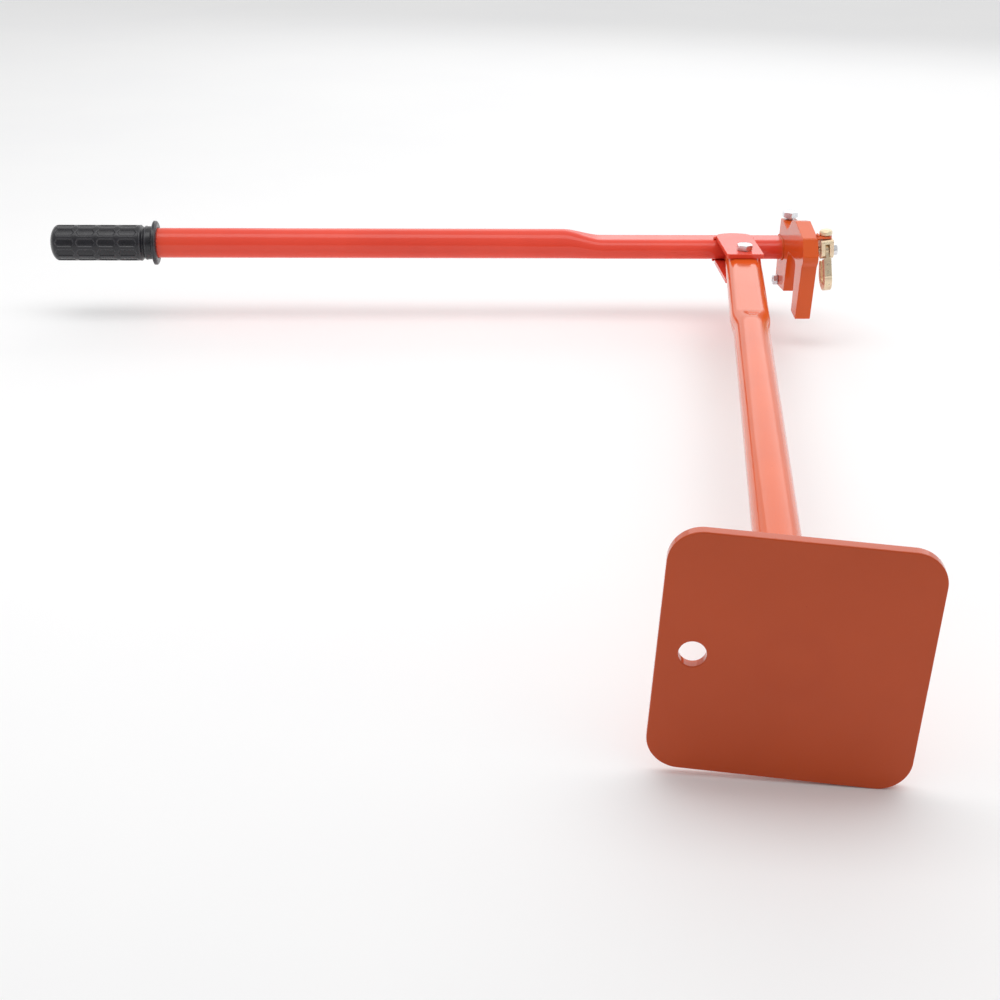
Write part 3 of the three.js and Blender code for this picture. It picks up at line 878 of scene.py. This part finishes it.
def jaw_plate():
    """Near prong, slot, rear prong and the notch in the top edge, in (along, height)."""
    low, high = extent("jaw_plate", LEVER)
    slot_top = 8.0
    corners = [
        (6, 57, 2), (-44, 47, 3), (-57, 26, 4), (-57.5, 19, 5), (-52, 12, 5), (-41, -63, 2.5),
        (-13, -60, 2.5), (-15, slot_top, 9), (35.8, slot_top, 8), (42, -50, 3), (90, -54, 3),
        (99, -45, 3), (98, 14, 8), (95, 38, 3), (80, 39, 4), (51, 33, 4), (26, 53, 4),
    ]
    part = stood_up(plate(rounded(corners, 8), low.x, high.x, 0.9, steps=3))
    return painted("jaw_plate_fine", part, LEVER, "lever", ["jaw_plate"])


def jaw_weld():
    """A bead round the near side of the lever's flattened end, against the jaw plate."""
    tube_low, tube_high = extent("lever_tube", LEVER)
    x = tube_high.x - 0.4
    axis = (tube_low.y + tube_high.y) / 2
    half = 13.5
    reach = (tube_high.y - tube_low.y) / 2 - half
    out = half + 0.5
    points = [(x, axis + 14, out), (x, axis + 3, out)]
    for i in range(9):
        angle = math.pi / 2 + math.pi * i / 8
        points.append((x, axis - reach + out * math.cos(angle), out * math.sin(angle)))
    points += [(x, axis + 3, -out), (x, axis + 14, -out)]
    part = bead(curve_through(points), (1, 0, 0), 1.1)
    return painted("jaw_weld_fine", part, LEVER, "lever", ["jaw_weld"])


def jaw_bolts():
    low, high = extent("jaw_set_bolt", LEVER)
    middle = (low + high) / 2
    head = 8
    base = high.z - head
    bolt = hex_bolt(M12_ACROSS, head, M12, base - low.z, M12_PITCH, 0.4)
    bolt = shifted(bolt, (middle.x, middle.y, base))
    plated("jaw_set_bolt_fine", bolt, LEVER, "lever", ["jaw_set_bolt"])
    low, high = extent("prong_bolt", LEVER)
    middle = (low + high) / 2
    head = 5.3
    plain = 17
    lie = Matrix.Translation((high.x - head, middle.y, middle.z)) @ ON_ITS_SIDE
    bolt = hex_bolt(M8_ACROSS, head, M8, high.x - head - low.x, M8_PITCH, plain)
    bolt = changed(bolt, lie)
    plated("prong_bolt_fine", bolt, LEVER, "lever", ["prong_bolt"])
    low, high = extent("prong_nut", LEVER)
    lie = Matrix.Translation((low.x, middle.y, middle.z)) @ ON_ITS_SIDE
    nut = changed(hex_nut(M8_ACROSS, high.x - low.x, M8 + 0.1), lie)
    plated("prong_nut_fine", nut, LEVER, "lever", ["prong_nut"])


# ---- lug, clevis and hook ------------------------------------------------------------

SWIVEL = Vector(joint("hook_swivel")["pos_m"])
SWIVEL_AXIS = Vector(joint("hook_swivel")["axis"])
HOOK_TURN = Matrix((SWING, SWIVEL_AXIS.cross(SWING), SWIVEL_AXIS)).transposed().to_4x4()
HANG = Matrix.Translation(SWIVEL) @ HOOK_TURN @ ROW
HOOK_PIN = (HANG.inverted() @ Vector(joint("hook_swing")["pos_m"])).z


def hook_lug():
    low, high = extent("hook_lug", LEVER)
    centre = (LEVER.inverted() @ SWIVEL).xy
    end = (high.y - low.y) / 2
    pin_hole = 4.6
    root = low.x - GAP
    steps = 28
    outline = [Vector((root, low.y)), Vector((centre.x, low.y))]
    for k in range(1, steps):
        angle = -math.pi / 2 + math.pi * k / steps
        outline.append(centre + end * Vector((math.cos(angle), math.sin(angle))))
    outline += [Vector((centre.x, high.y)), Vector((root, high.y))]
    hole = ring_outline(pin_hole, centre)
    part = plate(outline, low.z, high.z, 0.7, [hole])
    painted("hook_lug_fine", part, LEVER, "lever", ["hook_lug"])
    x = low.x + 0.4
    for z, name in ((high.z + 0.2, "hook_lug_weld_top"), (low.z - 0.2, "hook_lug_weld_under")):
        path = curve_through([(x, low.y + 1.5, z), (x, centre.y, z), (x, high.y - 1.5, z)])
        painted(name, bead(path, (0, 0, 1), 1.4), LEVER, "lever", [])


def swivel_pin():
    """A riveted pin with a low domed head."""
    low, high = extent("swivel_pin", HANG)
    head = (high.y - low.y) / 2
    base = high.z - 7
    shank = M8 / 2
    profile = [(0.3, low.z), (shank - 0.6, low.z), (shank, low.z + 0.6), (shank, base),
               (head - 0.6, base), (head, base + 0.6), (head, base + 3.9),
               (head - 0.4, base + 4.9), (head - 1.4, base + 5.9), (head - 3.2, base + 6.6),
               (3, high.z), (0.3, high.z)]
    return gilded("swivel_pin_fine", turned(profile, 80), HANG, "yoke", ["swivel_pin"])


def forging(node, body, voxel, passes):
    """The CAD solid with its edges and corners melted round, as a forging has them."""
    source = frame["nodes"][node].data
    inverse = HANG.inverted()
    part = [inverse @ v.co for v in source.vertices], [tuple(p.vertices) for p in source.polygons]
    made = gilded(node + "_fine", part, HANG, body, [node], merge=1e-6)
    made.modifiers.clear()
    melt = made.modifiers.new("melt", "REMESH")
    melt.mode = "VOXEL"
    melt.voxel_size = voxel * MM
    soften = made.modifiers.new("soften", "SMOOTH")
    soften.factor = 0.5
    soften.iterations = passes
    settle(made)
    made.data.shade_smooth()
    return made


def hook_pin():
    low, high = extent("hook_pin", HANG)
    radius = M8 / 2
    head_radius = 5.4
    head = 1.8
    sides = 64
    profile = [(0.3, low.x), (head_radius - 0.7, low.x), (head_radius, low.x + 0.5),
               (head_radius, low.x + head), (radius, low.x + head), (radius, high.x - 8)]
    rings = [circle(r, x, sides) for r, x in profile]
    rings += thread(radius, high.x - 7.8, high.x, M8_PITCH, sides)
    rings.append(circle(0.3, high.x, sides))
    part = changed(skin(rings), ON_ITS_SIDE)
    return gilded("hook_pin_fine", shifted(part, (0, 0, HOOK_PIN)), HANG, "yoke", ["hook_pin"])


def hook_nut():
    low, high = extent("hook_nut", HANG)
    across = 14
    lie = Matrix.Translation((low.x, 0, HOOK_PIN)) @ ON_ITS_SIDE
    nut = changed(hex_nut(across, high.x - low.x, M8 + 0.1), lie)
    return plated("hook_nut_fine", nut, HANG, "yoke", ["hook_nut"])


# ---- studio --------------------------------------------------------------------------


def soft_light(name, place, target, size, power):
    light = bpy.data.lights.new(name, "AREA")
    light.shape = "RECTANGLE"
    light.size, light.size_y = size
    light.energy = power
    lamp = bpy.data.objects.new(name, light)
    lamp.location = place
    lamp.rotation_euler = (Vector(target) - Vector(place)).to_track_quat("-Z", "Y").to_euler()
    lamp.visible_camera = False
    bpy.context.scene.collection.objects.link(lamp)


def white_room():
    """A bright white room that is dimmer in front, and two soft boxes."""
    world = bpy.data.worlds.new("white_room")
    bpy.context.scene.world = world
    world.use_nodes = True
    tree = world.node_tree
    background = tree.nodes["Background"]
    direction = tree.nodes.new("ShaderNodeTexCoord")
    facing = tree.nodes.new("ShaderNodeVectorMath")
    facing.operation = "DOT_PRODUCT"
    facing.inputs[1].default_value = Vector((0.1, 0.75, 0.65)).normalized()
    strength = tree.nodes.new("ShaderNodeMapRange")
    set_range(strength, -0.75, 0.55, 0.16, 0.92)
    tree.links.new(direction.outputs["Generated"], facing.inputs[0])
    tree.links.new(facing.outputs["Value"], strength.inputs["Value"])
    tree.links.new(strength.outputs["Result"], background.inputs["Strength"])
    background.inputs["Color"].default_value = (1, 1, 1, 1)
    soft_light("top_box", (-0.2, 0.55, 1.7), (-0.2, 1.1, 0), (2.4, 0.9), 13.5)
    soft_light("rear_box", (0.2, 3.2, 1.3), (0, 0.8, 0), (3.0, 1.6), 12)


def wide_floor():
    ground = cad_box[0][2]
    half = 30.0
    mesh = bpy.data.meshes.new("floor")
    corners = [(-half, -half), (half, -half), (half, half), (-half, half)]
    mesh.from_pydata([(x, y, ground) for x, y in corners], [], [(0, 1, 2, 3)])
    mesh.materials.append(pale_floor())
    floor = bpy.data.objects.new("floor", mesh)
    bpy.context.scene.collection.objects.link(floor)


def camera():
    """Beside the foot plate, looking up the leg and down at it."""
    place = Vector((-0.1159, -1.0331, 0.5951))
    forward = Vector((-0.0886, 0.9049, -0.4163))
    up = Vector((-0.0545, 0.4130, 0.9091))
    right = forward.cross(up).normalized()
    up = right.cross(forward).normalized()
    turn = Matrix((right, up, -forward.normalized())).transposed()
    data = bpy.data.cameras.new("camera")
    data.lens = 57.6
    data.sensor_width = 36.0
    data.clip_end = 100.0
    eye = bpy.data.objects.new("camera", data)
    eye.matrix_world = Matrix.Translation(place) @ turn.to_4x4()
    bpy.context.scene.collection.objects.link(eye)
    bpy.context.scene.camera = eye


# ---- build ---------------------------------------------------------------------------

camera()
white_room()
wide_floor()
foot_plate()
leg()
foot_weld()
lever()
grip()
ears()
ear_welds()
pivot()
jaw_plate()
jaw_weld()
jaw_bolts()
hook_lug()
swivel_pin()
forging("hook_yoke", "yoke", 0.32, 5)
hook_pin()
hook_nut()
forging("grab_hook", "hook", 0.36, 12)

sleeve = frame["nodes"]["pivot_sleeve"].data
sleeve.materials.clear()
sleeve.materials.append(bare_steel())

bpy.context.scene.view_settings.view_transform = "Standard"
